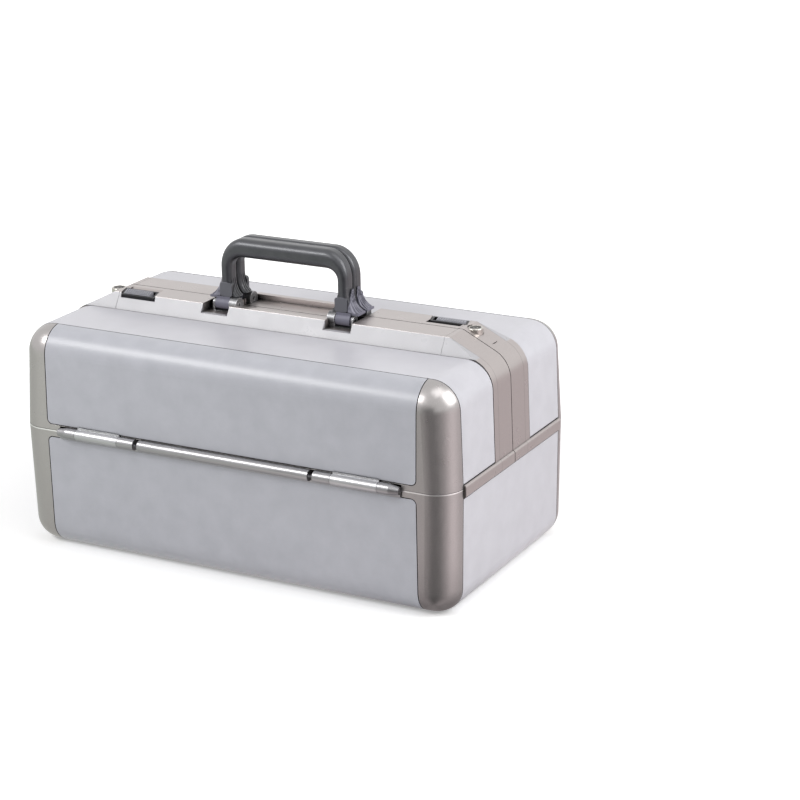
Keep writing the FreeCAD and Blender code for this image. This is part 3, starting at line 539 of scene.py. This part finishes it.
def fan_pleats():
    """Four pleats that fan out over the ear's outer flank from its tip, front left leg first."""
    pleats = []
    for setbacks in PLEAT_SETBACKS:
        points = trace("front_left_handle_ear", OUTSIDE_LEFT_LEG, 1, setbacks, PLEAT_HEIGHTS)
        pleats.append(ridge(points, PLEAT_RADII))
    pleats = joined("front_left_fan_pleats", pleats)
    pleats.data.materials.append(NODES["front_left_handle_ear"].data.materials[0])
    copy_to_all_legs(pleats, "fan_pleats", "_handle")


def leg_ribs():
    """Three ribs down the inner flank of each leg's foot, front left leg first."""
    ribs = []
    for setback in RIB_SETBACKS:
        points = trace("front_handle_grip", INSIDE_LEFT_LEG, -1, (setback, setback), RIB_HEIGHTS)
        ribs.append(ridge(points, RIB_RADII))
    ribs = joined("front_left_leg_ribs", ribs)
    ribs.data.materials.append(NODES["front_handle_grip"].data.materials[0])
    copy_to_all_legs(ribs, "leg_ribs", "_handle")


def camera_axes():
    """Right, up and backward directions of the camera after its roll, and its place."""
    azimuth = math.radians(CAMERA_AZIMUTH)
    elevation = math.radians(CAMERA_ELEVATION)
    roll = math.radians(CAMERA_ROLL)
    back = Vector((
        math.sin(azimuth) * math.cos(elevation),
        -math.cos(azimuth) * math.cos(elevation),
        math.sin(elevation),
    ))
    level = Vector((math.cos(azimuth), math.sin(azimuth), 0))
    upright = level.cross(-back)
    right = math.cos(roll) * level + math.sin(roll) * upright
    up = -math.sin(roll) * level + math.cos(roll) * upright
    centre = back * CAMERA_DISTANCE + level * CAMERA_SIDEWAYS + upright * CAMERA_UPWARDS
    return right, up, back, centre + Vector((0, 0, CAMERA_AIM_HEIGHT))


def make_camera():
    """Camera of the photograph."""
    data = bpy.data.cameras.new("camera")
    data.sensor_width = SENSOR_WIDTH
    data.lens = FOCAL_PIXELS * SENSOR_WIDTH / PICTURE_PIXELS
    camera = bpy.data.objects.new("camera", data)
    bpy.context.collection.objects.link(camera)
    right, up, back, place = camera_axes()
    turn = Matrix((right, up, back)).transposed().to_4x4()
    camera.matrix_world = Matrix.Translation(place) @ turn
    bpy.context.scene.camera = camera


def make_world():
    """Even room light, white where the camera or a reflection sees it."""
    world = bpy.data.worlds.new("studio")
    world.use_nodes = True
    bpy.context.scene.world = world
    tree = world.node_tree
    tree.nodes.clear()
    path = tree.nodes.new("ShaderNodeLightPath").outputs
    seen = add_node(tree, "ShaderNodeMath", {
        "operation": "MAXIMUM", 0: path["Is Camera Ray"], 1: path["Is Glossy Ray"],
    })
    room = add_node(tree, "ShaderNodeBackground", {"Color": (1, 1, 1, 1), "Strength": ROOM_LIGHT})
    white = add_node(tree, "ShaderNodeBackground", {"Color": (1, 1, 1, 1), "Strength": 1.0})
    mix = add_node(tree, "ShaderNodeMixShader", {0: seen, 1: room, 2: white})
    output = tree.nodes.new("ShaderNodeOutputWorld")
    tree.links.new(mix, output.inputs["Surface"])


def studio_place(azimuth, elevation, distance):
    """Point round the case. Azimuth 0 is in front of it and 90 at its right end."""
    turn = math.radians(azimuth)
    rise = math.radians(elevation)
    return Vector((
        distance * math.sin(turn) * math.cos(rise),
        -distance * math.cos(turn) * math.cos(rise),
        AIM_HEIGHT + distance * math.sin(rise),
    ))


def aimed(place):
    """Rotation that turns an object's -Z side towards the case."""
    return (Vector((0, 0, AIM_HEIGHT)) - place).to_track_quat("-Z", "Y").to_euler()


def softbox(name, azimuth, elevation, distance, size, power):
    """Rectangular lamp with a size in metres and a power in watts, aimed at the case."""
    data = bpy.data.lights.new(name, "AREA")
    data.shape = "RECTANGLE"
    data.size = size[0]
    data.size_y = size[1]
    data.energy = power
    lamp = bpy.data.objects.new(name, data)
    bpy.context.collection.objects.link(lamp)
    lamp.location = studio_place(azimuth, elevation, distance)
    lamp.rotation_euler = aimed(lamp.location)


def dark_card(name, azimuth, elevation, distance, size, shade):
    """Grey card that only reflections see, which darkens the lacquer that mirrors it."""
    place = studio_place(azimuth, elevation, distance)
    bpy.ops.mesh.primitive_plane_add(size=1, location=place, rotation=aimed(place))
    card = bpy.context.object
    card.name = name
    card.scale = (size[0], size[1], 1)
    for way in ("visible_camera", "visible_diffuse", "visible_transmission", "visible_shadow"):
        setattr(card, way, False)
    material, _, shader, _ = new_material(name + "_felt", "000000", 1.0)
    shader.inputs["Emission Color"].default_value = (shade, shade, shade, 1)
    shader.inputs["Emission Strength"].default_value = 1.0
    card.data.materials.append(material)


def painted_room_reflection(tree, place):
    """Painted reflection: a glow that only reflections see in the table, painted as a room with dark
    sides, greener to the left.
    """
    way = add_node(tree, "ShaderNodeVectorMath", {
        "operation": "SUBTRACT", 0: place, 1: RIGHT_FRONT_POST,
    })
    reach = add_node(tree, "ShaderNodeVectorMath", {"operation": "LENGTH", 0: way}, "Value")
    way = add_node(tree, "ShaderNodeVectorMath", {"operation": "NORMALIZE", 0: way})
    # Painted shadow: the table's reflection is dim close to the post, in its shadow
    brightness = add_node(tree, "ShaderNodeMapRange", {
        "Value": reach, "From Min": 0.02, "From Max": 0.13,
        "To Min": 0.35 * TABLE_SHINE, "To Max": TABLE_SHINE,
    })
    for azimuth, least, width in DARK_SIDES:
        turn = math.radians(azimuth)
        facing = add_node(tree, "ShaderNodeVectorMath", {
            "operation": "DOT_PRODUCT", 0: way, 1: (math.sin(turn), -math.cos(turn), 0),
        }, "Value")
        share = add_node(tree, "ShaderNodeMapRange", {
            "Value": facing, "From Min": width, "From Max": 0.98, "To Min": 1.0, "To Max": least,
        })
        brightness = add_node(tree, "ShaderNodeMath", {
            "operation": "MULTIPLY", 0: brightness, 1: share,
        })
    # Painted reflection tint: greener to the left, pinker to the right
    axes = tree.nodes.new("ShaderNodeSeparateXYZ")
    tree.links.new(place, axes.inputs[0])
    rightward = add_node(tree, "ShaderNodeMapRange", {
        "Value": axes.outputs[0], "From Min": -0.3, "From Max": 0.2,
    })
    tint = add_node(tree, "ShaderNodeMix", {
        "data_type": "RGBA", "Factor": rightward, 6: "F3F8F1", 7: "FFF3F5",
    }, 2)
    return add_node(tree, "ShaderNodeEmission", {"Color": tint, "Strength": brightness})


def make_floor():
    """White table. The camera sees its far parts white, and reflections see a painted room in it."""
    bpy.ops.mesh.primitive_plane_add(size=TABLE_SIZE, location=(0, 0, 0))
    floor = bpy.context.object
    floor.name = "floor"
    material, tree, shader, place = new_material("white_table", "EDEDED", 0.9)
    path = tree.nodes.new("ShaderNodeLightPath").outputs
    distance = add_node(tree, "ShaderNodeVectorMath", {"operation": "LENGTH", 0: place}, "Value")
    fill = add_node(tree, "ShaderNodeMapRange", {
        "Value": distance, "From Min": 0.35, "From Max": 1.1, "To Min": 0.3, "To Max": 1.0,
    })
    glow = add_node(tree, "ShaderNodeMath", {
        "operation": "MULTIPLY", 0: path["Is Camera Ray"], 1: fill,
    })
    tree.links.new(glow, shader.inputs["Emission Strength"])
    shader.inputs["Emission Color"].default_value = (1, 1, 1, 1)
    mix = add_node(tree, "ShaderNodeMixShader", {
        0: path["Is Glossy Ray"], 1: shader.outputs[0], 2: painted_room_reflection(tree, place),
    })
    output = next(node for node in tree.nodes if node.type == "OUTPUT_MATERIAL")
    tree.links.new(mix, output.inputs["Surface"])
    floor.data.materials.append(material)


make_camera()
dress_all()
fan_pleats()
leg_ribs()
make_world()
softbox("front_left_softbox", azimuth=-38, elevation=40, distance=1.5, size=(0.8, 0.4), power=9)
softbox("top_softbox", azimuth=72, elevation=68, distance=1.9, size=(1.2, 0.9), power=6)
softbox("right_softbox", azimuth=97, elevation=34, distance=1.5, size=(0.9, 0.9), power=12)
dark_card("front_card", azimuth=6, elevation=6, distance=2.6, size=(2.2, 1.2), shade=0.15)
make_floor()

bpy.context.scene.view_settings.view_transform = "Standard"
